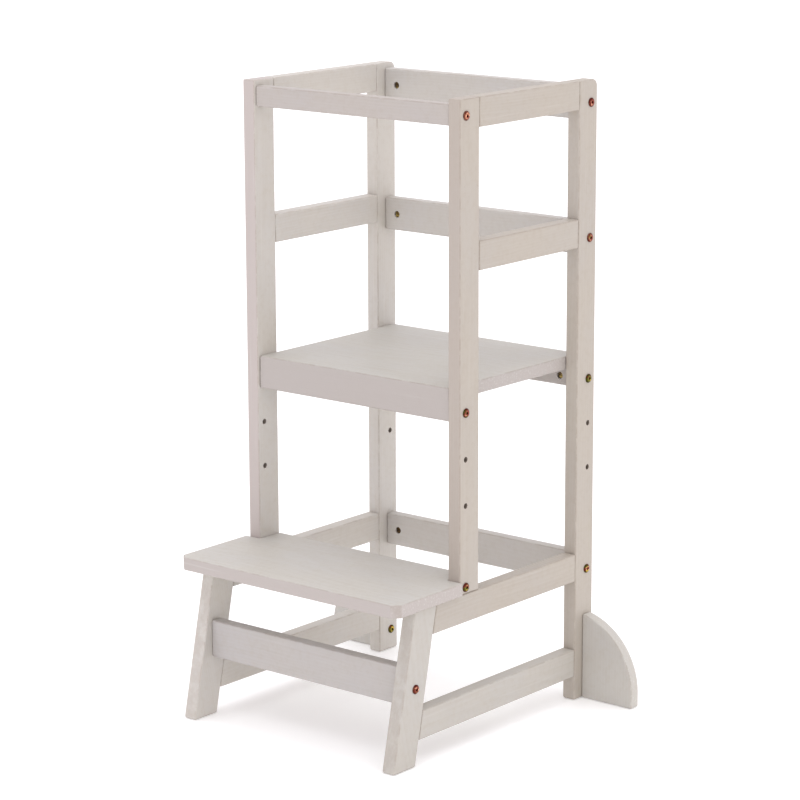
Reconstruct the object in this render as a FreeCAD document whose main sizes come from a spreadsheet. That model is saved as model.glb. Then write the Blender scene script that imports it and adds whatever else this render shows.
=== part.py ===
import FreeCAD, Part
import Sketcher
import math
import os

# Toddler kitchen helper stool: two glued side frames, cross rails, a step board and a platform
# that can be bolted at three heights, held with bolts and barrel nuts.
# The child climbs in from -Y, where the step is; left and right are seen from there, so the
# right side is +X. +Z is up. The origin lies on the floor, under the middle of the whole stool.

# Driving dimensions in millimetres: name, value, meaning.
dimensions = [
    ("overall_height", 900, "floor to the top of the side frames"),
    ("frame_width", 388, "over the outer faces of the side frames"),
    ("frame_depth", 310, "front face of the front posts to rear face of the rear posts"),
    ("frame_thickness", 21, "posts, legs and side rails, measured across the stool"),
    ("rail_thickness", 18, "cross rails, cleats and stabilizers, front to back"),
    ("board_thickness", 19, "step board and platform board"),
    ("post_depth", 42, "posts, front to back"),
    ("side_rail_height", 41, "all side rails"),
    ("ease_radius", 2.5, "rounding of every board edge"),
    ("rear_corner_radius", 10, "top rear corner of the rear posts"),
    ("mid_side_rail_top", 706, "top of the middle side rails"),
    ("lower_side_rail_top", 76.5, "top of the lower side rails"),
    ("leg_reach", 144.0, "foot of the slanted legs ahead of the front posts"),
    ("leg_angle", 12.1, "slant of the legs from upright, in degrees"),
    ("leg_depth", 46, "width of the slanted legs, square to their slant"),
    ("step_height", 238.5, "top of the step board"),
    ("step_reach", 143.5, "front edge of the step board ahead of the front posts"),
    ("step_overhang", 6, "step board beyond the side frames, each side"),
    ("step_corner_cut", 11, "front corners of the step board, cut off at 45 degrees"),
    ("notch_clearance", 0.3, "step board to the front posts, all round the notches"),
    ("front_rail_inset", 3.5, "front rail, front cleat: behind the front face of the posts"),
    ("rear_rail_inset", 6.5, "rear rails, rear cleat, stabilizers: ahead of the posts' rear face"),
    ("top_rail_drop", 8, "upper cross rails below the tops of the posts"),
    ("front_rail_height", 29, "top front rail"),
    ("rear_rail_height", 48, "all rear cross rails"),
    ("mid_rear_rail_drop", 5, "middle rear rail below the tops of the middle side rails"),
    ("base_rear_rail_drop", 2.5, "base rear rail below the tops of the base side rails"),
    ("step_rail_bottom", 86, "underside of the cross rail between the legs"),
    ("step_rail_height", 54.5, "cross rail between the legs"),
    ("step_rail_bolt_level", 24.5, "bolts of that rail above its underside"),
    ("platform_top", 507, "top of the platform board at its highest setting"),
    ("platform_clearance", 0.5, "platform board to the side frames, each side"),
    ("cleat_height", 28, "cleats under the platform board"),
    ("setting_pitch", 65, "height between two platform settings"),
    ("spare_settings", 2, "empty platform settings below the one in use"),
    ("stabilizer_width", 88.5, "stabilizers beyond the rear posts"),
    ("stabilizer_radius", 108.5, "curved edge of the stabilizers"),
    ("stabilizer_toe", 20, "upright part of their outer edge above the floor"),
    ("stabilizer_bolt_low", 31, "lower stabilizer bolts above the floor"),
    ("stabilizer_bolt_pitch", 56, "lower to upper stabilizer bolt"),
    ("bolt_diameter", 6, "shank of every bolt"),
    ("bolt_length", 50, "every bolt, under its head"),
    ("bolt_point", 0.8, "bevel at the tip of a bolt"),
    ("bolt_clearance", 2, "bolt holes in the wood over the shank"),
    ("bolt_tip_space", 2, "depth of a bolt hole past the tip"),
    ("head_diameter", 13, "bolt heads"),
    ("head_height", 2.6, "bolt heads"),
    ("head_rim", 0.9, "upright rim of a bolt head"),
    ("head_flat", 8, "flat top of a bolt head"),
    ("head_crown", 4, "radius between the rim and the flat of a bolt head"),
    ("socket_across", 4, "hex socket, across its flats"),
    ("socket_depth", 1.9, "hex socket"),
    ("nut_diameter", 10, "barrel nuts"),
    ("nut_length", 14, "barrel nuts"),
    ("nut_inset", 22.5, "middle of a barrel nut to the end of its rail"),
    ("nut_fit", 0.2, "barrel nut in its hole and bolt in its nut, over the diameter"),
    ("nut_bevel", 0.6, "both ends of a barrel nut"),
    ("nut_slot_width", 1.4, "screwdriver slot of a barrel nut"),
    ("nut_slot_depth", 1.6, "screwdriver slot of a barrel nut"),
    ("dowel_diameter", 8, "glue dowels"),
    ("dowel_fit", 0.2, "dowel in its hole, over the diameter"),
    ("dowel_length", 32, "dowels of the side frames"),
    ("dowel_pitch", 20, "the two dowels of one joint"),
    ("dowel_bevel", 1, "both ends of a dowel"),
    ("short_dowel_length", 22, "dowels that end in the step board or the platform board"),
    ("short_dowel_in_board", 10, "part of a short dowel that is in the board"),
    ("dowel_end_space", 1, "depth of a dowel hole past the dowel"),
    ("leg_dowel_edge", 11, "step board dowel behind the front edge of the leg"),
    ("cleat_dowel_pitch", 110, "dowels along a platform cleat"),
]

doc = FreeCAD.newDocument("kitchen_helper_stool")
sheet = doc.addObject("Spreadsheet::Sheet", "Sizes")
for row, (alias, number, meaning) in enumerate(dimensions, start=1):
    sheet.set(f"A{row}", alias)
    sheet.set(f"B{row}", str(number))
    sheet.setAlias(f"B{row}", alias)
    sheet.set(f"C{row}", meaning)
doc.recompute()

nodes = []    # what is written, one file each
sides = {"left": -1, "right": 1}

# A sketch lies square to one axis of its piece; some of these planes face the other way.
planes = {"x": "YZ_Plane", "y": "XZ_Plane", "z": "XY_Plane"}
facing = {"x": 1, "y": -1, "z": 1}

same_place = 1e-6    # closer heights than this are the same


def value(expression):
    return float(sheet.evalExpression(expression))


def less(first, second):
    return f"(({first}) - ({second}))"


def place(piece, corner):
    for axis, expression in zip("xyz", corner):
        piece.setExpression(f"Placement.Base.{axis}", expression)


def new_piece(label, corner):
    body = doc.addObject("PartDesign::Body", label)
    body.Label = label
    place(body, corner)
    nodes.append(body)
    return body


def new_sketch(body, name, axis, position="0"):
    sketch = body.newObject("Sketcher::SketchObject", name)
    plane = next(item for item in body.Origin.OriginFeatures if item.Role == planes[axis])
    sketch.AttachmentSupport = [(plane, "")]
    sketch.MapMode = "FlatFace"
    sketch.setExpression("AttachmentOffset.Base.z", f"{facing[axis]} * ({position})")
    return sketch


def bind(sketch, kind, *place_and_size):
    *where, expression = place_and_size
    index = sketch.addConstraint(Sketcher.Constraint(kind, *where, value(expression)))
    sketch.setExpression(f"Constraints[{index}]", expression)


def outline(sketch, corners, arcs=None):
    # Corners run anticlockwise; arcs gives the radius of the edge that follows a corner.
    arcs = arcs or {}
    points = [FreeCAD.Vector(value(across), value(up), 0) for across, up in corners]
    normal = FreeCAD.Vector(0, 0, 1)
    for index, start in enumerate(points):
        end = points[(index + 1) % len(points)]
        if index not in arcs:
            sketch.addGeometry(Part.LineSegment(start, end))
            continue
        radius = value(arcs[index])
        chord = end - start
        rise = math.sqrt(radius ** 2 - (chord.Length / 2) ** 2)
        centre = (start + end) * 0.5 + normal.cross(chord).normalize() * rise
        first = math.atan2(start.y - centre.y, start.x - centre.x)
        last = math.atan2(end.y - centre.y, end.x - centre.x)
        sketch.addGeometry(Part.ArcOfCircle(Part.Circle(centre, normal, radius), first, last))
    for index, (across, up) in enumerate(corners):
        following = (index + 1) % len(corners)
        sketch.addConstraint(Sketcher.Constraint("Coincident", index, 2, following, 1))
        bind(sketch, "DistanceX", index, 1, across)
        bind(sketch, "DistanceY", index, 1, up)
        if index in arcs:
            bind(sketch, "Radius", index, arcs[index])


def circles(sketch, spots, diameter):
    for index, (across, up) in enumerate(spots):
        centre = FreeCAD.Vector(value(across), value(up), 0)
        sketch.addGeometry(Part.Circle(centre, FreeCAD.Vector(0, 0, 1), value(diameter) / 2))
        bind(sketch, "DistanceX", index, 3, across)
        bind(sketch, "DistanceY", index, 3, up)
        bind(sketch, "Diameter", index, diameter)


def pad(body, sketch, axis, length):
    feature = body.newObject("PartDesign::Pad", "Pad")
    feature.Profile = sketch
    feature.setExpression("Length", length)
    feature.Reversed = facing[axis] < 0
    doc.recompute()


def cut(body, sketch, axis, direction, depth):
    # No depth means through everything on that side of the sketch.
    feature = body.newObject("PartDesign::Pocket", "Cut")
    feature.Profile = sketch
    feature.Reversed = direction == facing[axis]
    if depth is None:
        feature.Type = "ThroughAll"
    else:
        feature.setExpression("Length", depth)


def drill(body, axis, position, direction, depth, spots, diameter):
    sketch = new_sketch(body, "Holes", axis, position)
    circles(sketch, spots, diameter)
    cut(body, sketch, axis, direction, depth)


def runs_across(edge, height):
    # Edges that run across the stool at a height above the underside of their piece.
    level = math.isclose(edge.CenterOfMass.z, height, abs_tol=same_place)
    return level and math.isclose(abs(edge.tangentAt(edge.FirstParameter).x), 1)


def ease(body, seam=None):
    # Every edge is rounded, but along a glued seam the long edges stay sharp.
    solid = body.Tip
    feature = body.newObject("PartDesign::Fillet", "Ease")
    if seam is None:
        feature.Base = (solid, [""])
        feature.UseAllEdges = True
    else:
        height = value(seam)
        feature.Base = (solid, [f"Edge{number}"
                                for number, edge in enumerate(solid.Shape.Edges, start=1)
                                if not runs_across(edge, height)])
    feature.setExpression("Radius", "Sizes.ease_radius")
    doc.recompute()


def bevel(body, size):
    solid = body.Tip
    feature = body.newObject("PartDesign::Chamfer", "Bevel")
    feature.Base = (solid, [""])
    feature.UseAllEdges = True
    feature.setExpression("Size", size)
    doc.recompute()


def board(label, corner, axis, length, corners, arcs=None, seam=None):
    # A board cut to an outline, with its edges eased.
    body = new_piece(label, corner)
    sketch = new_sketch(body, "Outline", axis)
    outline(sketch, corners, arcs)
    pad(body, sketch, axis, length)
    ease(body, seam)
    return body


def rectangle(width, height):
    return [("0", "0"), (width, "0"), (width, height), ("0", height)]


# Places that several pieces share, in the stool's own frame.
half_width = "Sizes.frame_width / 2"
inner_half = f"({half_width} - Sizes.frame_thickness)"
inner_width = "(Sizes.frame_width - 2 * Sizes.frame_thickness)"
front_face = "((Sizes.step_reach - Sizes.frame_depth) / 2)"
rear_face = f"({front_face} + Sizes.frame_depth)"
rear_post_front = less(rear_face, "Sizes.post_depth")
front_rail_y = f"({front_face} + Sizes.front_rail_inset)"
rear_rail_y = f"({rear_face} - Sizes.rear_rail_inset - Sizes.rail_thickness)"
half_rail = "Sizes.rail_thickness / 2"
front_bolt_y = f"({front_rail_y} + {half_rail})"
rear_bolt_y = f"({rear_rail_y} + {half_rail})"
step_under = "(Sizes.step_height - Sizes.board_thickness)"
leg_slope = "tan(Sizes.leg_angle)"
leg_foot_depth = "(Sizes.leg_depth / cos(Sizes.leg_angle))"
leg_front = f"({front_face} - Sizes.leg_reach)"

# Bottoms and bolt heights of the cross rails; all but the one at the legs are bolted at half height.
top_front_rail_z = "(Sizes.overall_height - Sizes.top_rail_drop - Sizes.front_rail_height)"
top_rear_rail_z = "(Sizes.overall_height - Sizes.top_rail_drop - Sizes.rear_rail_height)"
mid_rear_rail_z = "(Sizes.mid_side_rail_top - Sizes.mid_rear_rail_drop - Sizes.rear_rail_height)"
base_rear_rail_z = f"({step_under} - Sizes.base_rear_rail_drop - Sizes.rear_rail_height)"
cleat_z = "(Sizes.platform_top - Sizes.board_thickness - Sizes.cleat_height)"
top_front_bolt_z = f"({top_front_rail_z} + Sizes.front_rail_height / 2)"
top_rear_bolt_z = f"({top_rear_rail_z} + Sizes.rear_rail_height / 2)"
mid_rear_bolt_z = f"({mid_rear_rail_z} + Sizes.rear_rail_height / 2)"
base_rear_bolt_z = f"({base_rear_rail_z} + Sizes.rear_rail_height / 2)"
platform_bolt_z = f"({cleat_z} + Sizes.cleat_height / 2)"
step_board_bolt_z = f"({step_under} + Sizes.board_thickness / 2)"
step_rail_bolt_z = "(Sizes.step_rail_bottom + Sizes.step_rail_bolt_level)"
step_rail_bolt_y = f"({leg_front} + {leg_foot_depth} / 2 + {step_rail_bolt_z} * {leg_slope})"
stabilizer_bolt_heights = [
    "Sizes.stabilizer_bolt_low",
    "(Sizes.stabilizer_bolt_low + Sizes.stabilizer_bolt_pitch)",
]
platform_settings = [
    f"({platform_bolt_z} - {count} * Sizes.setting_pitch)"
    for count in range(int(value("Sizes.spare_settings")) + 1)
]

# Tops of the side rails.
side_rail_tops = {
    "top": "Sizes.overall_height",
    "middle": "Sizes.mid_side_rail_top",
    "base": step_under,
    "lower": "Sizes.lower_side_rail_top",
}

# Middles of the barrel nuts across the stool, left and right.
nut_xs = [f"(Sizes.nut_inset - {inner_half})", f"({inner_half} - Sizes.nut_inset)"]

# Holes.
bolt_hole = "(Sizes.bolt_diameter + Sizes.bolt_clearance)"
bolt_depth = "(Sizes.bolt_length - Sizes.frame_thickness + Sizes.bolt_tip_space)"
nut_hole = "(Sizes.nut_diameter + Sizes.nut_fit)"
nut_depth = "((Sizes.rail_thickness + Sizes.nut_length + Sizes.nut_fit) / 2)"
board_nut_depth = "((Sizes.board_thickness + Sizes.nut_length + Sizes.nut_fit) / 2)"
dowel_hole = "(Sizes.dowel_diameter + Sizes.dowel_fit)"
dowel_depth = "(Sizes.dowel_length / 2 + Sizes.dowel_end_space)"
dowel_in_board = "(Sizes.short_dowel_in_board + Sizes.dowel_end_space)"
dowel_in_wood = ("(Sizes.short_dowel_length - Sizes.short_dowel_in_board"
                 " + Sizes.dowel_end_space)")


def frame_low(side):
    # Low X of the posts, rails and leg of one side frame.
    return inner_half if side > 0 else f"(-{half_width})"


def leg_back(height):
    # Rear edge of the slanted legs at a height above the floor.
    return f"({leg_front} + {leg_foot_depth} + ({height}) * {leg_slope})"


def joint_heights(rail):
    # The two dowels of a side rail's joint, at even distances from the middle of the rail.
    middle = f"({side_rail_tops[rail]} - Sizes.side_rail_height / 2)"
    return [f"({middle} - Sizes.dowel_pitch / 2)", f"({middle} + Sizes.dowel_pitch / 2)"]


half_frame = "Sizes.frame_thickness / 2"
foot_dowel_y = f"({front_face} + Sizes.post_depth - Sizes.dowel_pitch / 2)"
step_dowel_y = f"({leg_front} + {step_under} * {leg_slope} + Sizes.leg_dowel_edge)"


# Front posts stand on the base side rails.
def front_post(name, side):
    corner = (frame_low(side), front_face, step_under)
    height = less("Sizes.overall_height", step_under)
    post = board(f"front_post_{name}", corner, "x", "Sizes.frame_thickness",
                 rectangle("Sizes.post_depth", height))
    heights = [top_front_bolt_z, step_board_bolt_z] + platform_settings
    spots = [(less(front_bolt_y, front_face), less(level, step_under)) for level in heights]
    drill(post, "x", "0", 1, None, spots, bolt_hole)
    spots = [(half_frame, less(level, step_under))
             for rail in ("top", "middle") for level in joint_heights(rail)]
    drill(post, "y", "Sizes.post_depth", -1, dowel_depth, spots, dowel_hole)
    drill(post, "z", "0", 1, dowel_depth, [(half_frame, less(foot_dowel_y, front_face))],
          dowel_hole)


# Rear posts reach the floor; their top rear corner is rounded.
def rear_post(name, side):
    depth = "Sizes.post_depth"
    height = "Sizes.overall_height"
    corner_radius = "Sizes.rear_corner_radius"
    shape = [("0", "0"), (depth, "0"), (depth, less(height, corner_radius)),
             (less(depth, corner_radius), height), ("0", height)]
    corner = (frame_low(side), rear_post_front, "0")
    post = board(f"rear_post_{name}", corner, "x", "Sizes.frame_thickness", shape,
                 {2: corner_radius})
    heights = ([top_rear_bolt_z, mid_rear_bolt_z, base_rear_bolt_z]
               + platform_settings + stabilizer_bolt_heights)
    spots = [(less(rear_bolt_y, rear_post_front), level) for level in heights]
    drill(post, "x", "0", 1, None, spots, bolt_hole)
    spots = [(half_frame, level) for rail in side_rail_tops for level in joint_heights(rail)]
    drill(post, "y", "0", 1, dowel_depth, spots, dowel_hole)


# Top and middle side rails lie between the posts of one side.
def post_rail(name, side, rail):
    bottom = less(side_rail_tops[rail], "Sizes.side_rail_height")
    start = f"({front_face} + Sizes.post_depth)"
    length = less(rear_post_front, start)
    shape = rectangle(length, "Sizes.side_rail_height")
    body = board(f"{rail}_side_rail_{name}", (frame_low(side), start, bottom), "x",
                 "Sizes.frame_thickness", shape)
    spots = [(half_frame, less(level, bottom)) for level in joint_heights(rail)]
    drill(body, "y", "0", 1, dowel_depth, spots, dowel_hole)
    drill(body, "y", length, -1, dowel_depth, spots, dowel_hole)


# Base and lower side rails start at the slanted leg, so their front ends slant with it.
def leg_rail(name, side, rail):
    bottom = less(side_rail_tops[rail], "Sizes.side_rail_height")
    start = leg_back(bottom)
    length = less(rear_post_front, start)
    shape = [("0", "0"), (length, "0"), (length, "Sizes.side_rail_height"),
             (f"Sizes.side_rail_height * {leg_slope}", "Sizes.side_rail_height")]
    body = board(f"{rail}_side_rail_{name}", (frame_low(side), start, bottom), "x",
                 "Sizes.frame_thickness", shape)
    spots = [(half_frame, less(level, bottom)) for level in joint_heights(rail)]
    drill(body, "y", length, -1, dowel_depth, spots, dowel_hole)
    for level in joint_heights(rail):
        seam = less(leg_back(level), start)
        drill(body, "y", "0", 1, f"({seam} + {dowel_depth})",
              [(half_frame, less(level, bottom))], dowel_hole)
    if rail == "base":
        drill(body, "z", "Sizes.side_rail_height", -1, dowel_depth,
              [(half_frame, less(foot_dowel_y, start))], dowel_hole)


# Slanted legs carry the front of the step board.
def step_leg(name, side):
    rise = f"({step_under} * {leg_slope})"
    shape = [("0", "0"), (leg_foot_depth, "0"), (f"({leg_foot_depth} + {rise})", step_under),
             (rise, step_under)]
    leg = board(f"step_leg_{name}", (frame_low(side), leg_front, "0"), "x",
                "Sizes.frame_thickness", shape)
    drill(leg, "x", "0", 1, None, [(less(step_rail_bolt_y, leg_front), step_rail_bolt_z)],
          bolt_hole)
    for rail in ("base", "lower"):
        for level in joint_heights(rail):
            # The hole starts a little behind the slanted edge, so that it opens all round.
            start = f"({less(leg_back(level), leg_front)} + Sizes.dowel_end_space)"
            drill(leg, "y", start, -1, f"({dowel_depth} + Sizes.dowel_end_space)",
                  [(half_frame, level)], dowel_hole)
    drill(leg, "z", step_under, -1, dowel_in_wood,
          [(half_frame, less(step_dowel_y, leg_front))], dowel_hole)


# Quarter-round stabilizers beside the feet of the rear posts.
def stabilizer(name, side):
    width = "Sizes.stabilizer_width"
    centre = less(width, "Sizes.stabilizer_radius")
    toe = "Sizes.stabilizer_toe"
    top = f"({toe} + sqrt(Sizes.stabilizer_radius ^ 2 - {centre} ^ 2))"
    if side > 0:
        corner = half_width
        shape = [("0", "0"), (width, "0"), (width, toe), ("0", top)]
        arcs = {2: "Sizes.stabilizer_radius"}
        inner_edge = "0"
    else:
        corner = f"(-{half_width} - {width})"
        shape = [("0", "0"), (width, "0"), (width, top), ("0", toe)]
        arcs = {2: "Sizes.stabilizer_radius"}
        inner_edge = width
    piece = board(f"stabilizer_{name}", (corner, rear_rail_y, "0"), "y",
                  "Sizes.rail_thickness", shape, arcs)
    spots = [(half_rail, level) for level in stabilizer_bolt_heights]
    drill(piece, "x", inner_edge, side, bolt_depth, spots, bolt_hole)
    nut_x = "Sizes.nut_inset" if side > 0 else less(width, "Sizes.nut_inset")
    spots = [(nut_x, level) for level in stabilizer_bolt_heights]
    drill(piece, "y", "Sizes.rail_thickness", -1, nut_depth, spots, nut_hole)


for name, side in sides.items():
    front_post(name, side)
    rear_post(name, side)
    post_rail(name, side, "top")
    post_rail(name, side, "middle")
    leg_rail(name, side, "base")
    leg_rail(name, side, "lower")
    step_leg(name, side)
    stabilizer(name, side)


# Cross rails and cleats run between the side frames, with a bolt and a barrel nut at each end.
def cross_rail(label, low_y, low_z, height, nut_face, level=None, seam=None):
    # The bolts are at half the rail's height unless a level above its underside is given.
    level = level or f"({height}) / 2"
    corner = (f"(-{inner_half})", low_y, low_z)
    rail = board(label, corner, "x", inner_width, rectangle("Sizes.rail_thickness", height),
                 seam=seam)
    drill(rail, "x", "0", 1, bolt_depth, [(half_rail, level)], bolt_hole)
    drill(rail, "x", inner_width, -1, bolt_depth, [(half_rail, level)], bolt_hole)
    nuts = [("Sizes.nut_inset", level), (less(inner_width, "Sizes.nut_inset"), level)]
    if nut_face == "front":
        drill(rail, "y", "0", 1, nut_depth, nuts, nut_hole)
    else:
        drill(rail, "y", "Sizes.rail_thickness", -1, nut_depth, nuts, nut_hole)
    return rail


rear_height = "Sizes.rear_rail_height"
cross_rail("top_front_rail", front_rail_y, top_front_rail_z, "Sizes.front_rail_height", "rear")
cross_rail("top_rear_rail", rear_rail_y, top_rear_rail_z, rear_height, "front")
cross_rail("middle_rear_rail", rear_rail_y, mid_rear_rail_z, rear_height, "front")
cross_rail("base_rear_rail", rear_rail_y, base_rear_rail_z, rear_height, "front")
cross_rail("step_cross_rail", less(step_rail_bolt_y, half_rail), "Sizes.step_rail_bottom",
           "Sizes.step_rail_height", "rear", "Sizes.step_rail_bolt_level")

cleat_height = "Sizes.cleat_height"
cleats = [
    cross_rail("platform_front_cleat", front_rail_y, cleat_z, cleat_height, "rear",
               seam=cleat_height),
    cross_rail("platform_rear_cleat", rear_rail_y, cleat_z, cleat_height, "front",
               seam=cleat_height),
]
cleat_dowels = [f"({step} * Sizes.cleat_dowel_pitch)" for step in (-1, 0, 1)]
for cleat in cleats:
    spots = [(f"({inner_half} + {across})", half_rail) for across in cleat_dowels]
    drill(cleat, "z", cleat_height, -1, dowel_in_wood, spots, dowel_hole)

# The platform board is glued on the cleats, flush with their outer faces and painted over.
platform_half = less(inner_half, "Sizes.platform_clearance")
platform_depth = f"({rear_rail_y} + Sizes.rail_thickness - {front_rail_y})"
platform = board("platform_board",
                 (f"(-{platform_half})", front_rail_y, f"({cleat_z} + Sizes.cleat_height)"),
                 "z", "Sizes.board_thickness",
                 rectangle(f"(2 * {platform_half})", platform_depth), seam="0")
spots = [(f"({platform_half} + {across})", less(row, front_rail_y))
         for across in cleat_dowels for row in (front_bolt_y, rear_bolt_y)]
drill(platform, "z", "0", 1, dowel_in_board, spots, dowel_hole)

# The step board is notched round the front posts; its front corners are cut off.
step_half = f"({half_width} + Sizes.step_overhang)"
step_width = f"(2 * {step_half})"
notch = "(Sizes.step_overhang + Sizes.frame_thickness + Sizes.notch_clearance)"
step_side = less("Sizes.step_reach", "Sizes.notch_clearance")
step_depth = "(Sizes.step_reach + Sizes.post_depth)"
corner_cut = "Sizes.step_corner_cut"
step_front = f"({front_face} - Sizes.step_reach)"
step_shape = [
    (corner_cut, "0"),
    (less(step_width, corner_cut), "0"),
    (step_width, corner_cut),
    (step_width, step_side),
    (less(step_width, notch), step_side),
    (less(step_width, notch), step_depth),
    (notch, step_depth),
    (notch, step_side),
    ("0", step_side),
    ("0", corner_cut),
]
step = board("step_board", (f"(-{step_half})", step_front, step_under), "z",
             "Sizes.board_thickness", step_shape)
bolt_y_in_step = less(front_bolt_y, step_front)
half_board = "Sizes.board_thickness / 2"
drill(step, "x", notch, 1, bolt_depth, [(bolt_y_in_step, half_board)], bolt_hole)
drill(step, "x", less(step_width, notch), -1, bolt_depth, [(bolt_y_in_step, half_board)],
      bolt_hole)
drill(step, "z", "0", 1, board_nut_depth,
      [(f"({step_half} + {across})", bolt_y_in_step) for across in nut_xs], nut_hole)
leg_middle = f"({half_width} - {half_frame})"
leg_xs = [f"(-{leg_middle})", leg_middle]
drill(step, "z", "0", 1, dowel_in_board,
      [(f"({step_half} + {across})", less(step_dowel_y, step_front)) for across in leg_xs],
      dowel_hole)


# One bolt, head up, with the underside of its head at its origin.
def make_bolt():
    body = doc.addObject("PartDesign::Body", "bolt_pattern")
    profile = new_sketch(body, "Profile", "y")
    shank = "Sizes.bolt_diameter / 2"
    head = "Sizes.head_diameter / 2"
    flat = "Sizes.head_flat / 2"
    corners = [
        ("0", "-Sizes.bolt_length"),
        (f"({shank} - Sizes.bolt_point)", "-Sizes.bolt_length"),
        (shank, "Sizes.bolt_point - Sizes.bolt_length"),
        (shank, "0"),
        (head, "0"),
        (head, "Sizes.head_rim"),
        (flat, "Sizes.head_height"),
        ("0", "Sizes.head_height"),
    ]
    outline(profile, corners, {5: "Sizes.head_crown"})
    turned = body.newObject("PartDesign::Revolution", "Turned")
    turned.Profile = profile
    turned.ReferenceAxis = (profile, ["V_Axis"])
    turned.Angle = 360
    doc.recompute()
    socket = new_sketch(body, "Socket", "z", "Sizes.head_height")
    across_corners = "Sizes.socket_across / sqrt(3)"
    outline(socket, [(f"{across_corners} * cos({angle})", f"{across_corners} * sin({angle})")
                     for angle in range(0, 360, 60)])
    cut(body, socket, "z", -1, "Sizes.socket_depth")
    return body


# One barrel nut, slot up, with the middle of its cross hole at its origin.
def make_nut():
    body = doc.addObject("PartDesign::Body", "nut_pattern")
    round_end = new_sketch(body, "Round", "z", "-Sizes.nut_length / 2")
    circles(round_end, [("0", "0")], "Sizes.nut_diameter")
    pad(body, round_end, "z", "Sizes.nut_length")
    bevel(body, "Sizes.nut_bevel")
    drill(body, "x", "-Sizes.nut_diameter", 1, None, [("0", "0")],
          "(Sizes.bolt_diameter + Sizes.nut_fit)")
    slot = new_sketch(body, "Slot", "z", "Sizes.nut_length / 2")
    half_slot = "Sizes.nut_slot_width / 2"
    outline(slot, [("-Sizes.nut_diameter", f"-{half_slot}"), ("Sizes.nut_diameter", f"-{half_slot}"),
                   ("Sizes.nut_diameter", half_slot), ("-Sizes.nut_diameter", half_slot)])
    cut(body, slot, "z", -1, "Sizes.nut_slot_depth")
    return body


# One dowel along Z, with its lower end at its origin.
def make_dowel(name, length):
    body = doc.addObject("PartDesign::Body", name)
    round_end = new_sketch(body, "Round", "z")
    circles(round_end, [("0", "0")], "Sizes.dowel_diameter")
    pad(body, round_end, "z", length)
    bevel(body, "Sizes.dowel_bevel")
    return body


# Copies of one small piece, as one group of separate solids.
def group(label, pattern, spots):
    copies = []
    for corner, rotation in spots:
        copy = doc.addObject("App::Link", "Copy")
        copy.LinkedObject = pattern
        copy.Placement = FreeCAD.Placement(FreeCAD.Vector(), rotation)
        place(copy, corner)
        copies.append(copy)
    compound = doc.addObject("Part::Compound", label)
    compound.Label = label
    compound.Links = copies
    nodes.append(compound)
    return compound


bolt = make_bolt()
nut = make_nut()
dowel = make_dowel("dowel_pattern", "Sizes.dowel_length")
short_dowel = make_dowel("short_dowel_pattern", "Sizes.short_dowel_length")

across_axis = FreeCAD.Vector(1, 0, 0)
along_axis = FreeCAD.Vector(0, 1, 0)
upright = FreeCAD.Rotation()
face_left = FreeCAD.Rotation(along_axis, -90)
face_right = FreeCAD.Rotation(along_axis, 90)
face_front = FreeCAD.Rotation(across_axis, 90)
face_rear = FreeCAD.Rotation(across_axis, -90)
face_down = FreeCAD.Rotation(across_axis, 180)

outward = [(f"(-{half_width})", face_left), (half_width, face_right)]


# The bolts of one cross piece come from both outer faces, and each has its barrel nut.
def fasten(name, rows, nut_facing):
    group(f"{name}_bolts", bolt,
          [((x, y, z), turn) for y, z in rows for x, turn in outward])
    group(f"{name}_nuts", nut,
          [((x, y, z), nut_facing[index]) for index, (y, z) in enumerate(rows) for x in nut_xs])


fasten("top_front_rail", [(front_bolt_y, top_front_bolt_z)], [face_rear])
fasten("top_rear_rail", [(rear_bolt_y, top_rear_bolt_z)], [face_front])
fasten("middle_rear_rail", [(rear_bolt_y, mid_rear_bolt_z)], [face_front])
fasten("base_rear_rail", [(rear_bolt_y, base_rear_bolt_z)], [face_front])
fasten("step_cross_rail", [(step_rail_bolt_y, step_rail_bolt_z)], [face_rear])
fasten("step_board", [(front_bolt_y, step_board_bolt_z)], [face_down])
fasten("platform", [(front_bolt_y, platform_bolt_z), (rear_bolt_y, platform_bolt_z)],
       [face_rear, face_front])

# The stabilizer bolts come from the inner faces of the rear posts.
stabilizer_nut_x = f"({half_width} + Sizes.nut_inset)"
inward = [(f"(-{inner_half})", face_right), (inner_half, face_left)]
group("stabilizer_bolts", bolt,
      [((x, rear_bolt_y, z), turn) for z in stabilizer_bolt_heights for x, turn in inward])
group("stabilizer_nuts", nut,
      [((x, rear_bolt_y, z), face_rear) for z in stabilizer_bolt_heights
       for x in (f"(-{stabilizer_nut_x})", stabilizer_nut_x)])


# Glue dowels inside the joints of a side frame, each centred on its seam.
def frame_dowels(name, side):
    middle = f"({frame_low(side)} + {half_frame})"
    half_dowel = "Sizes.dowel_length / 2"
    front_seam = f"({front_face} + Sizes.post_depth)"
    spots = []
    for rail in side_rail_tops:
        for level in joint_heights(rail):
            front = front_seam if rail in ("top", "middle") else leg_back(level)
            for seam in (front, rear_post_front):
                spots.append(((middle, f"({seam} + {half_dowel})", level), face_front))
    spots.append(((middle, foot_dowel_y, f"({step_under} - {half_dowel})"), upright))
    group(f"frame_dowels_{name}", dowel, spots)


for name, side in sides.items():
    frame_dowels(name, side)

short_below = "(Sizes.short_dowel_length - Sizes.short_dowel_in_board)"
group("step_board_dowels", short_dowel,
      [((x, step_dowel_y, f"({step_under} - {short_below})"), upright) for x in leg_xs])
group("platform_dowels", short_dowel,
      [((x, y, f"({cleat_z} + Sizes.cleat_height - {short_below})"), upright)
       for x in cleat_dowels for y in (front_bolt_y, rear_bolt_y)])

doc.recompute()

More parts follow.
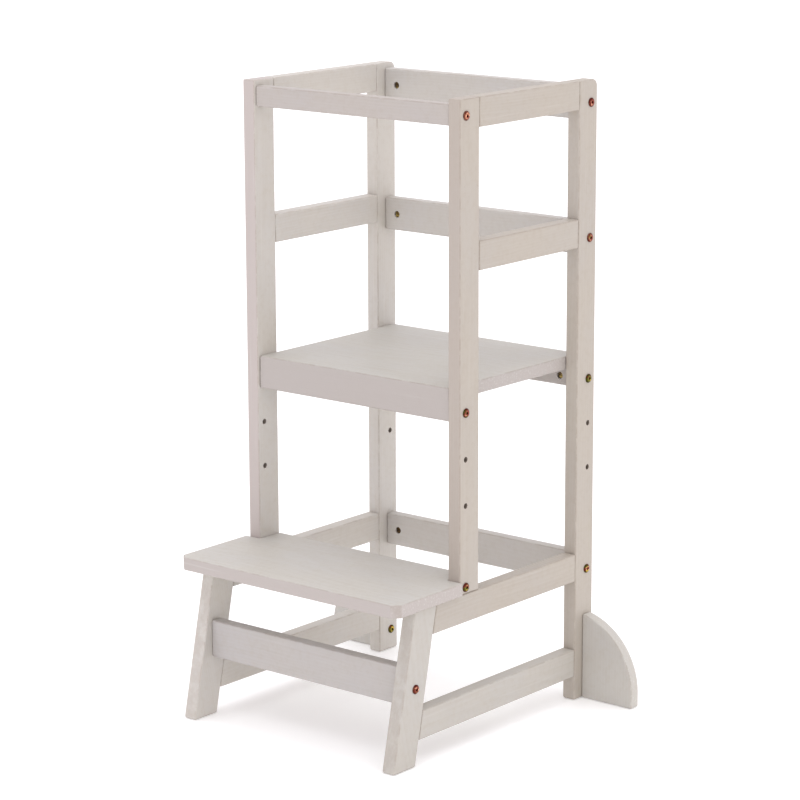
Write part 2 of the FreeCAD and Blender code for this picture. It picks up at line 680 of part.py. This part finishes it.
# Nothing is written unless every feature and every piece is sound.
for item in doc.Objects:
    if "Invalid" in item.State or "Error" in item.State:
        raise RuntimeError(f"{item.Label} did not recompute: {item.State}")
    if item.TypeId in ("PartDesign::Pocket", "PartDesign::Fillet", "PartDesign::Chamfer"):
        if item.Shape.Volume >= item.BaseFeature.Shape.Volume:
            raise RuntimeError(f"{item.Label} takes nothing away")
for node in nodes:
    shape = node.Shape
    if shape.isNull() or not shape.isValid() or not shape.Solids:
        raise RuntimeError(f"{node.Label} has no valid solid")
    if node.TypeId == "PartDesign::Body" and len(shape.Solids) != 1:
        raise RuntimeError(f"{node.Label} is not one solid")

os.makedirs("parts", exist_ok=True)
for node in nodes:
    node.Shape.exportStep(os.path.join("parts", node.Label + ".step"))
print(len(nodes), "nodes written")
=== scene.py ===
import math

import bpy
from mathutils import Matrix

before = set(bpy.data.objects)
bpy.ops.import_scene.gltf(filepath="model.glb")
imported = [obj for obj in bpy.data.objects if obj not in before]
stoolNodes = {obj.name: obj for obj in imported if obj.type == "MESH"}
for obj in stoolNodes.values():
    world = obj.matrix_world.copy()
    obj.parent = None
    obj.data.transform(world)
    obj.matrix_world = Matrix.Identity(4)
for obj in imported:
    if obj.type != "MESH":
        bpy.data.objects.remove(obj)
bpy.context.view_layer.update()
print("stage 1: stool loaded,", len(stoolNodes), "nodes")


# One output of a node. Arithmetic on it adds the nodes that do the sum.
class Tap:
    def __init__(self, bench, socket):
        self.bench = bench
        self.socket = socket

    def combine(self, first, second, operation):
        vectorWork = any(isinstance(item, Tap) and item.socket.type != "VALUE" for item in (first, second))
        if not vectorWork:
            return self.bench.add("ShaderNodeMath", {"operation": operation}, {0: first, 1: second})
        first, second = [(item,) * 3 if isinstance(item, (int, float)) else item
                         for item in (first, second)]
        return self.bench.add("ShaderNodeVectorMath", {"operation": operation}, {0: first, 1: second})

    def __add__(self, other):
        return self.combine(self, other, "ADD")

    def __radd__(self, other):
        return self.combine(other, self, "ADD")

    def __sub__(self, other):
        return self.combine(self, other, "SUBTRACT")

    def __rsub__(self, other):
        return self.combine(other, self, "SUBTRACT")

    def __mul__(self, other):
        return self.combine(self, other, "MULTIPLY")

    def __rmul__(self, other):
        return self.combine(other, self, "MULTIPLY")

    def __truediv__(self, other):
        return self.combine(self, other, "DIVIDE")

    def __rtruediv__(self, other):
        return self.combine(other, self, "DIVIDE")

    def __pow__(self, other):
        return self.combine(self, other, "POWER")

    def __rpow__(self, other):
        return self.combine(other, self, "POWER")


# A node tree and how nodes are put into it.
class Bench:
    def __init__(self, tree):
        self.tree = tree

    def add(self, kind, settings, sockets, output=0):
        node = self.tree.nodes.new(kind)
        for name, setting in settings.items():
            setattr(node, name, setting)
        for name, given in sockets.items():
            self.plug(node.inputs[name], given)
        return Tap(self, node.outputs[output])

    def plug(self, socket, given):
        if isinstance(given, Tap):
            self.tree.links.new(given.socket, socket)
        elif isinstance(given, tuple) and socket.type == "RGBA":
            socket.default_value = (*given, 1)
        else:
            socket.default_value = given


# A material with its surface shader.
class Finish(Bench):
    def __init__(self, name):
        self.material = bpy.data.materials.new(name)
        self.material.use_nodes = True
        super().__init__(self.material.node_tree)
        self.shader = self.tree.nodes["Principled BSDF"]

    def wear(self, name, given):  # one socket of the surface shader
        self.plug(self.shader.inputs[name], given)

    def bump(self, height, strength, distance):
        self.wear("Normal", self.add("ShaderNodeBump", {},
                                     {"Height": height, "Strength": strength, "Distance": distance}))

    def coords(self, output="Object"):
        return self.add("ShaderNodeTexCoord", {}, {}, output)

    def blend(self, factor, first, second):  # 6 and 7 are the Mix node's colours
        return self.add("ShaderNodeMix", {"data_type": "RGBA"}, {0: factor, 6: first, 7: second}, 2)

    def ramp(self, given, low, high):  # 0 at low, 1 at high, smooth between
        return self.add("ShaderNodeMapRange", {"interpolation_type": "SMOOTHSTEP"},
                        {"Value": given, "From Min": low, "From Max": high})

    def larger(self, first, second):
        return self.add("ShaderNodeMath", {"operation": "MAXIMUM"}, {0: first, 1: second})

    def join(self, x, y, z):
        return self.add("ShaderNodeCombineXYZ", {}, {0: x, 1: y, 2: z})

    def split(self, vector):
        node = self.add("ShaderNodeSeparateXYZ", {}, {0: vector}).socket.node
        return [Tap(self, socket) for socket in node.outputs]

    def noise(self, place, scale, detail, roughness, output=0):
        return self.add("ShaderNodeTexNoise", {},
                        {"Vector": place, "Scale": scale, "Detail": detail, "Roughness": roughness}, output)

    def cells(self, place, scale):  # distance to the middle of a cell, and the lot that the cell drew
        distance = self.add("ShaderNodeTexVoronoi", {"feature": "F1"}, {"Vector": place, "Scale": scale})
        return distance, self.split(Tap(self, distance.socket.node.outputs["Color"]))[0]


whitewash = {
    "colour": {
        "white": (0.528, 0.500, 0.457),     # full coat
        "thin": (0.475, 0.436, 0.380),      # where the pine shows through
        "cloud": (0.505, 0.489, 0.470),     # cooler patches
        "streak": (0.615, 0.597, 0.565),    # where the coat is thickest
        "endGrain": (0.462, 0.420, 0.362),
        "edge": (0.455, 0.404, 0.382),      # painted shade: narrow faces of some boards, darker than their broad faces
        "rubbed": (0.375, 0.322, 0.280),    # rounded corners
        "knot": (0.330, 0.248, 0.165),
        "openHole": (0.270, 0.235, 0.205),  # walls of the open holes: bare wood, darkened further as painted shade
    },
    # How much of each colour comes through where its mask is full.
    "show": {
        "cloud": 0.55,
        "ring": 0.20,
        "fibre": 0.36,
        "mottle": 0.30,
        "endRing": 0.35,
        "end": 0.75,
        "rubbed": 0.50,
        "streak": 0.30,
        "torn": 0.55,
        "knotHeart": 0.221,
        "knotHalo": 0.119,
        "speck": 0.55,
    },
    # The values between which each mask rises from nothing to full.
    "rise": {
        "fibre": (0.42, 0.74),
        "streak": (0.56, 0.74),
        "streakPatch": (0.42, 0.62),
        "cloud": (0.35, 0.70),
        "mottle": (0.46, 0.68),
        "rubbed": (0.38, 0.56),
        "torn": (0.52, 0.68),
        "endFace": (0.55, 0.90),
        "broadFace": (0.30, 0.80),
        "flatFace": (0.72, 0.96),
    },
    # Noise drawn out along the grain: cells in a metre along it and across it, detail, roughness.
    "grain": {
        "wobble": (5.0, 40.0, 3.0, 0.5),
        "fibre": (9.0, 420.0, 5.0, 0.62),
        "patch": (3.0, 16.0, 3.0, 0.5),
        "brush": (6.0, 210.0, 3.0, 0.55),
    },
    # Noise that is alike in all directions: cells in a metre, detail, roughness.
    "spots": {
        "cloud": (9.0, 3.0, 0.55),
        "mottle": (120.0, 3.0, 0.65),
        "rubbed": (48.0, 3.0, 0.6),
        "torn": (330.0, 4.0, 0.65),
    },
    "roughness": {"coat": 0.50, "fibre": 0.10, "cloud": -0.06},
    # How far each thing stands out of the wood, as a share of the depth.
    "relief": {"fibre": 0.5, "ring": 0.35, "knotHalo": 0.3, "streak": 0.3, "torn": 0.8},
    "reliefStrength": 0.22,
    "reliefDepth": 0.0004,      # metres
    "stagger": 37.0,            # no two boards start at the same place of a plank
    "sharedStart": 0.37,        # except glued boards that share one figure
    "mottleShift": 3.1,
    "patchFloor": 0.4,          # share of the rings that shows outside the patches too
    "cornerTear": 0.5,          # rounded corners tear half as much as sawn faces
    "holeRise": ((0.02, 0.06), (0.02, 0.04), (0.004, 0.008)),    # across, front to back, up
}

rings = {
    "width": 0.0042,                # metres from ring to ring
    "rise": (0.0, 0.72),            # early wood darkens slowly
    "fall": (0.80, 1.0),            # and late wood ends soon
    "wobble": 1.6,
    "drift": (1.0, 2.0, 0.5),       # how the pith wanders: cells, detail, roughness
    "driftAlong": 1.4,
    "driftStart": 91.0,
    "driftReach": 0.05,             # metres
    "pithSpread": (0.11, -0.07),    # from board to board
    "pithAside": (-0.02, 0.06),     # the pith lies beside the board
}


def growthRings(finish, fibres, chance):
    along, *across = fibres
    path = finish.join(along * rings["driftAlong"], chance * rings["driftStart"], 0.0)
    drift = finish.split(finish.noise(path, *rings["drift"], "Color"))
    one, two = [side + chance * spread + aside + turn * rings["driftReach"] for side, spread, aside, turn
                in zip(across, rings["pithSpread"], rings["pithAside"], drift)]
    radius = (one * one + two * two) ** 0.5
    phase = radius / rings["width"] + grainNoise(finish, fibres, "wobble") * rings["wobble"]
    phase = finish.add("ShaderNodeMath", {"operation": "FRACT"}, {0: phase})
    return finish.ramp(phase, *rings["rise"]) - finish.ramp(phase, *rings["fall"])


knots = {
    "cells": (7.0, 24.0),           # in a metre, along and across the grain
    "chosen": (0.86, 0.88),         # few cells have a knot
    "heart": (0.03, 0.11),          # in cells, from the middle of the knot
    "halo": (0.08, 0.32),
    "speckCells": 26.0,
    "speckShift": 5.0,
    "speckChosen": (0.90, 0.92),
    "speck": (0.010, 0.028),
}


def knotsAndSpecks(finish, fibres, place, chance):
    nearest, lot = finish.cells(stretched(finish, fibres, *knots["cells"]), 1.0)
    chosen = finish.ramp(lot, *knots["chosen"])
    heart = (1 - finish.ramp(nearest, *knots["heart"])) * chosen
    halo = (1 - finish.ramp(nearest, *knots["halo"])) * chosen
    nearest, lot = finish.cells(place + chance * knots["speckShift"], knots["speckCells"])
    speck = (1 - finish.ramp(nearest, *knots["speck"])) * finish.ramp(lot, *knots["speckChosen"])
    return heart, halo, speck


def stretched(finish, fibres, lengthwise, crosswise):
    along, acrossOne, acrossTwo = fibres
    return finish.join(along * lengthwise, acrossOne * crosswise, acrossTwo * crosswise)


def grainNoise(finish, fibres, layer):
    lengthwise, crosswise, detail, roughness = whitewash["grain"][layer]
    return finish.noise(stretched(finish, fibres, lengthwise, crosswise), 1.0, detail, roughness)


def mask(finish, layer, given):
    return finish.ramp(given, *whitewash["rise"][layer])


def spotMask(finish, layer, place):
    return mask(finish, layer, finish.noise(place, *whitewash["spots"][layer]))


# A slanted board's grain is turned upright.
def turned(finish, vector, slant):
    if not slant:
        return vector
    return finish.add("ShaderNodeVectorRotate", {"rotation_type": "X_AXIS"},
                      {"Vector": vector, "Angle": math.radians(slant)})


# Masks of a board's ends, of its faces sawn across the grain, of its narrow faces and of its
# rounded corners, which look along none of the board's three directions.
def boardFaces(finish, slant, grain, broadFace, sawnEdge):
    normals = turned(finish, finish.coords("Normal"), slant)
    squares = {axis: part * part for axis, part in zip("xyz", finish.split(normals))}
    ends = mask(finish, "endFace", squares[grain])
    narrow = 1 - mask(finish, "broadFace", squares[broadFace]) if broadFace else 0.0
    sawn = ends
    flatness = finish.larger(finish.larger(squares["x"], squares["y"]), squares["z"])
    if sawnEdge:  # all of the curved edge is one sawn face
        sawn = narrow
        flatness = finish.larger(squares[broadFace], 1 - squares[broadFace])
    return ends, sawn, narrow, 1 - mask(finish, "flatFace", flatness)


# The walls of the open holes lie well inside the board's own box.
def insideBox(finish):
    inside = 1.0
    for share, rise in zip(finish.split(finish.coords("Generated")), whitewash["holeRise"]):
        inside = finish.ramp(share * (1 - share), *rise) * inside
    return inside


# Painted light and shade: each board group's paint is scaled lighter or darker, standing in for how the
# light falls on it.
boardLightShade = {
    "left": (1.110, 1.112, 1.116),
    "right": (0.899, 0.862, 0.821),
    "low": (0.987, 0.988, 0.980),       # right leg and right lower rail
    "front": (0.900, 0.875, 0.890),
    "rear": (1.030, 1.036, 1.052),
    "platform": (0.958, 0.974, 0.977),
    "step": (1.021, 1.034, 1.039),
    "stepRail": (0.925, 0.925, 0.962),
    "stabilizer": (1.035, 1.050, 1.058),
}


def whitewashedPine(board, grain, tone, slant=0.0, broadFace="", edgeShow=0.0, sawnEdge=False,
                    openHoles=False, oneFigure=False):
    finish = Finish(board + "Pine")
    show = whitewash["show"]
    relief = whitewash["relief"]
    sheen = whitewash["roughness"]
    # the paint colours scaled by the board's painted light and shade
    coat = {part: tuple(level * share for level, share in zip(colour, boardLightShade[tone]))
            for part, colour in whitewash["colour"].items()}
    place = turned(finish, finish.coords(), slant)
    chance = whitewash["sharedStart"]
    if not oneFigure:
        chance = finish.add("ShaderNodeObjectInfo", {}, {}, "Random")
    sides = dict(zip("xyz", finish.split(place)))
    fibres = (sides.pop(grain) + chance * whitewash["stagger"], *sides.values())

    ring = growthRings(finish, fibres, chance)
    knotHeart, knotHalo, speck = knotsAndSpecks(finish, fibres, place, chance)
    ends, sawn, narrow, corners = boardFaces(finish, slant, grain, broadFace, sawnEdge)
    fibre = mask(finish, "fibre", grainNoise(finish, fibres, "fibre"))
    patch = grainNoise(finish, fibres, "patch")
    streak = mask(finish, "streak", grainNoise(finish, fibres, "brush")) * mask(finish, "streakPatch", patch)
    cloud = spotMask(finish, "cloud", place)
    mottle = spotMask(finish, "mottle", place + whitewash["mottleShift"])
    rubbed = spotMask(finish, "rubbed", place) * corners
    torn = spotMask(finish, "torn", place) * (sawn + corners * whitewash["cornerTear"])

    thin = ring * show["ring"] * (whitewash["patchFloor"] + patch) + fibre * show["fibre"] * patch
    endTone = finish.blend(ring * show["endRing"], coat["white"], coat["endGrain"])
    colour = finish.blend(cloud * show["cloud"], coat["white"], coat["cloud"])
    colour = finish.blend(thin + mottle * show["mottle"], colour, coat["thin"])
    colour = finish.blend(ends * show["end"], colour, endTone)
    # Painted shade: the narrow faces of some boards are darkened against their broad faces.
    if edgeShow:
        colour = finish.blend(narrow * edgeShow, colour, coat["edge"])
    colour = finish.blend(rubbed * show["rubbed"], colour, coat["rubbed"])
    colour = finish.blend(streak * show["streak"], colour, coat["streak"])
    colour = finish.blend(torn * show["torn"], colour, coat["streak"])
    colour = finish.blend(knotHalo * show["knotHalo"] + knotHeart * show["knotHeart"], colour, coat["knot"])
    colour = finish.blend(speck * show["speck"], colour, coat["knot"])
    # Painted shade in the open holes, over the bare wood of their walls.
    if openHoles:
        colour = finish.blend(insideBox(finish), colour, coat["openHole"])

    finish.wear("Base Color", colour)
    finish.wear("Roughness", sheen["coat"] + fibre * sheen["fibre"] + cloud * sheen["cloud"])
    height = (fibre * relief["fibre"] + ring * relief["ring"] + knotHalo * relief["knotHalo"]
              + streak * relief["streak"] + torn * relief["torn"])
    finish.bump(height, whitewash["reliefStrength"], whitewash["reliefDepth"])
    return finish.material


# For the metals and the beech, noise is given as cells in a metre, detail, roughness.
beech = {
    "light": (0.62, 0.44, 0.26),
    "dark": (0.46, 0.30, 0.16),
    "stretch": (900.0, 160.0, 900.0),
    "fleckNoise": (1.0, 3.0, 0.6),
    "fleckRise": (0.4, 0.7),
    "roughness": 0.6,
    "fleckRoughness": 0.1,
    "reliefStrength": 0.3,
    "reliefDepth": 0.0003,
}


def bareBeech():
    finish = Finish("bareBeechDowel")
    fleck = finish.noise(finish.coords() * beech["stretch"], *beech["fleckNoise"])
    fleck = finish.ramp(fleck, *beech["fleckRise"])
    finish.wear("Base Color", finish.blend(fleck, beech["light"], beech["dark"]))
    finish.wear("Roughness", beech["roughness"] + fleck * beech["fleckRoughness"])
    finish.bump(fleck, beech["reliefStrength"], beech["reliefDepth"])
    return finish.material


plating = {
    "gold": (0.600, 0.400, 0.060),
    "peach": (0.800, 0.390, 0.240),
    "olive": (0.120, 0.125, 0.018),
    "wine": (0.210, 0.030, 0.022),
    # Painted shade and dark reflection: near-black red and green tints laid on the sides of each head.
    "greenRim": (0.034, 0.036, 0.008),
    "redRim": (0.078, 0.013, 0.009),
    "boltNoise": (7.0, 1.0, 0.5),       # red and green from bolt to bolt
    "headNoise": (190.0, 1.0, 0.5),     # and on one head
    "headShare": 0.9,
    "redRise": (0.83, 0.93),
    "wornNoise": (9.0, 1.0, 0.5),       # some heads are darker as a whole
    "wornShift": 1.7,
    "wornRise": (0.48, 0.60),
    "wornShare": 0.14,
    "patchNoise": (260.0, 2.0, 0.5),
    "patchRise": (0.46, 0.56),
    "patchShow": 0.90,
    "flatRise": (0.72, 0.97),           # the flats of a head look along the bolt
    "redRimRise": (0.25, 0.65),
    "rimPatch": 0.3,
    "rimShow": 0.85,
    "metallic": 0.95,
    "roughness": 0.26,
    "scuffNoise": (1400.0, 2.0, 0.6),
    "scuffRoughness": 0.16,
    "reliefStrength": 0.25,
    "reliefDepth": 0.00006,
}


def yellowZinc():
    finish = Finish("yellowZincBolt")
    place = finish.coords()
    red = (finish.noise(place, *plating["boltNoise"])
           + finish.noise(place, *plating["headNoise"]) * plating["headShare"])
    red = finish.ramp(red, *plating["redRise"])
    worn = finish.noise(place + plating["wornShift"], *plating["wornNoise"])
    worn = finish.ramp(worn, *plating["wornRise"])
    patch = finish.noise(place, *plating["patchNoise"]) + worn * plating["wornShare"]
    patch = finish.ramp(patch, *plating["patchRise"])
    scuff = finish.noise(place, *plating["scuffNoise"])
    light = finish.blend(red, plating["gold"], plating["peach"])
    dark = finish.blend(red, plating["olive"], plating["wine"])
    colour = finish.blend(patch * plating["patchShow"], light, dark)

    facing = finish.split(finish.coords("Normal"))[0]
    sideShadeMask = 1 - finish.ramp(facing * facing, *plating["flatRise"])  # painted shade and dark reflection on crown, rim, shank and socket walls
    # Painted shade and dark reflection: the sides of each head and its socket walls are darkened.
    redRim = finish.ramp(red + patch * plating["rimPatch"], *plating["redRimRise"])
    rimShade = finish.blend(redRim, plating["greenRim"], plating["redRim"])
    finish.wear("Base Color", finish.blend(sideShadeMask * plating["rimShow"], colour, rimShade))
    finish.wear("Metallic", plating["metallic"])
    finish.wear("Roughness", plating["roughness"] + scuff * plating["scuffRoughness"])
    finish.bump(scuff, plating["reliefStrength"], plating["reliefDepth"])
    return finish.material


nutMetal = {
    # Painted shade: the nut's dark bronze is darkened further for the shade of the hole it sits in.
    "bronze": (0.090, 0.058, 0.030),
    "glint": (0.360, 0.270, 0.090),
    "patchNoise": (160.0, 2.0, 0.5),
    "patchRise": (0.48, 0.66),
    "stretch": (700.0, 90.0, 700.0),
    "turnedNoise": (1.0, 2.0, 0.5),
    "metallic": 0.95,
    "roughness": 0.34,
    "turnedRoughness": 0.14,
    "reliefStrength": 0.3,
    "reliefDepth": 0.00006,
}


def darkZincShaded():
    finish = Finish("darkZincBarrelNut")
    place = finish.coords()
    lathed = finish.noise(place * nutMetal["stretch"], *nutMetal["turnedNoise"])
    patch = finish.ramp(finish.noise(place, *nutMetal["patchNoise"]), *nutMetal["patchRise"])
    finish.wear("Base Color", finish.blend(patch, nutMetal["bronze"], nutMetal["glint"]))
    finish.wear("Metallic", nutMetal["metallic"])
    finish.wear("Roughness", nutMetal["roughness"] + lathed * nutMetal["turnedRoughness"])
    finish.bump(lathed, nutMetal["reliefStrength"], nutMetal["reliefDepth"])
    return finish.material


legSlant = -12.1    # degrees

# The grain's direction, the painted light and shade group of each board, and what else is special about it.
pineBoards = {
    "leftPost": {"grain": "z", "tone": "left", "openHoles": True},
    "rightPost": {"grain": "z", "tone": "right", "openHoles": True},
    "leftFrontPost": {"grain": "z", "tone": "left", "openHoles": True, "broadFace": "x", "edgeShow": 0.95},
    "rightFrontPost": {"grain": "z", "tone": "right", "openHoles": True, "broadFace": "x", "edgeShow": 0.40},
    "leftSideRail": {"grain": "y", "tone": "left"},
    "rightSideRail": {"grain": "y", "tone": "right"},
    "rightLowRail": {"grain": "y", "tone": "low"},
    "leftLeg": {"grain": "z", "tone": "left", "slant": legSlant},
    "rightLeg": {"grain": "z", "tone": "low", "slant": legSlant},
    "front": {"grain": "x", "tone": "front"},
    "rear": {"grain": "x", "tone": "rear"},
    "platform": {"grain": "x", "tone": "platform", "oneFigure": True, "broadFace": "z", "edgeShow": 0.80},
    "step": {"grain": "x", "tone": "step", "broadFace": "z", "edgeShow": 0.85},
    "stepRail": {"grain": "x", "tone": "stepRail"},
    "stabilizer": {"grain": "z", "tone": "stabilizer", "broadFace": "y", "sawnEdge": True},
}

# The first of these that is part of a node's name tells its board.
boardOfNode = {
    "stabilizer": "stabilizer",
    "front_post": "{side}FrontPost",
    "post": "{side}Post",
    "leg": "{side}Leg",
    "lower_side_rail_right": "rightLowRail",
    "side_rail": "{side}SideRail",
    "platform": "platform",
    "step_board": "step",
    "step_cross_rail": "stepRail",
    "rear_rail": "rear",
    "front_rail": "front",
}

pine = {board: whitewashedPine(board, **special) for board, special in pineBoards.items()}
dowelWood = bareBeech()
boltZinc = yellowZinc()
nutZinc = darkZincShaded()


def finishFor(nodeName):
    if nodeName.endswith("_bolts"):
        return boltZinc
    if nodeName.endswith("_nuts"):
        return nutZinc
    if "dowels" in nodeName:
        return dowelWood
    board = next(board for part, board in boardOfNode.items() if part in nodeName)
    return pine[board.format(side=nodeName.rsplit("_", 1)[1])]


for nodeName, stoolPart in stoolNodes.items():
    for materialSlot in stoolPart.material_slots:
        materialSlot.material = finishFor(nodeName)
print("stage 2: finishes on every node")


studio = {
    "floorColour": (0.94, 0.94, 0.94),
    "floorGlow": 0.18,
    "floorRoughness": 0.9,
    "floorShine": 0.1,
    "floorSize": 120.0,
    "floorDrop": 0.0006,                # keeps the feet clear of the floor's face
    "backdrop": (1.00, 1.00, 1.00),     # what the camera sees behind the stool
    "sky": (0.93, 0.885, 0.92),         # what lights it
}

bpy.ops.mesh.primitive_plane_add(size=studio["floorSize"], location=(0, 0, -studio["floorDrop"]))
floor = bpy.context.object
floor.name = "studioFloor"
floorPaint = Finish("studioFloorPaint")
floorPaint.wear("Base Color", studio["floorColour"])
floorPaint.wear("Roughness", studio["floorRoughness"])
floorPaint.wear("Specular IOR Level", studio["floorShine"])
floorPaint.wear("Emission Color", studio["floorColour"])
floorPaint.wear("Emission Strength", studio["floorGlow"])
floor.data.materials.append(floorPaint.material)

world = bpy.data.worlds.new("studioSky")
world.use_nodes = True
skyBench = Bench(world.node_tree)
seen = skyBench.add("ShaderNodeLightPath", {}, {}, "Is Camera Ray")
seenSky = skyBench.add("ShaderNodeBackground", {}, {"Color": studio["backdrop"]})
litSky = skyBench.add("ShaderNodeBackground", {}, {"Color": studio["sky"]})
mixedSky = skyBench.add("ShaderNodeMixShader", {}, {0: seen, 1: litSky, 2: seenSky})
skyBench.plug(world.node_tree.nodes["World Output"].inputs["Surface"], mixedSky)
bpy.context.scene.world = world


# Two broad suns, with their turns and softness in degrees.
suns = {
    "topSun": {"colour": (0.942, 1.00, 1.00), "strength": 1.24, "turn": (0.0, 0.0, 0.0), "softness": 70.0},
    "sideSun": {"colour": (1.00, 0.964, 0.755), "strength": 0.20, "turn": (70.0, 0.0, 78.0),
                "softness": 50.0},
}


def softSun(name, colour, strength, turn, softness):
    light = bpy.data.lights.new(name, "SUN")
    light.color = colour
    light.energy = strength
    light.angle = math.radians(softness)
    sun = bpy.data.objects.new(name, light)
    sun.rotation_euler = [math.radians(angle) for angle in turn]
    bpy.context.scene.collection.objects.link(sun)


for sunName, sunValues in suns.items():
    softSun(sunName, **sunValues)
bpy.context.scene.view_settings.view_transform = "Standard"
print("stage 3: studio")


photoView = {
    "place": (2.6006, -3.1337, 1.3721),
    "turn": (77.272, 0.212, 39.417),    # degrees
    "lens": 133.0,                      # millimetres
    "sensor": 36.0,
}

cameraData = bpy.data.cameras.new("photoView")
cameraData.lens = photoView["lens"]
cameraData.sensor_width = photoView["sensor"]
camera = bpy.data.objects.new("photoView", cameraData)
camera.location = photoView["place"]
camera.rotation_euler = [math.radians(angle) for angle in photoView["turn"]]
bpy.context.scene.collection.objects.link(camera)
bpy.context.scene.camera = camera
print("stage 4: camera")
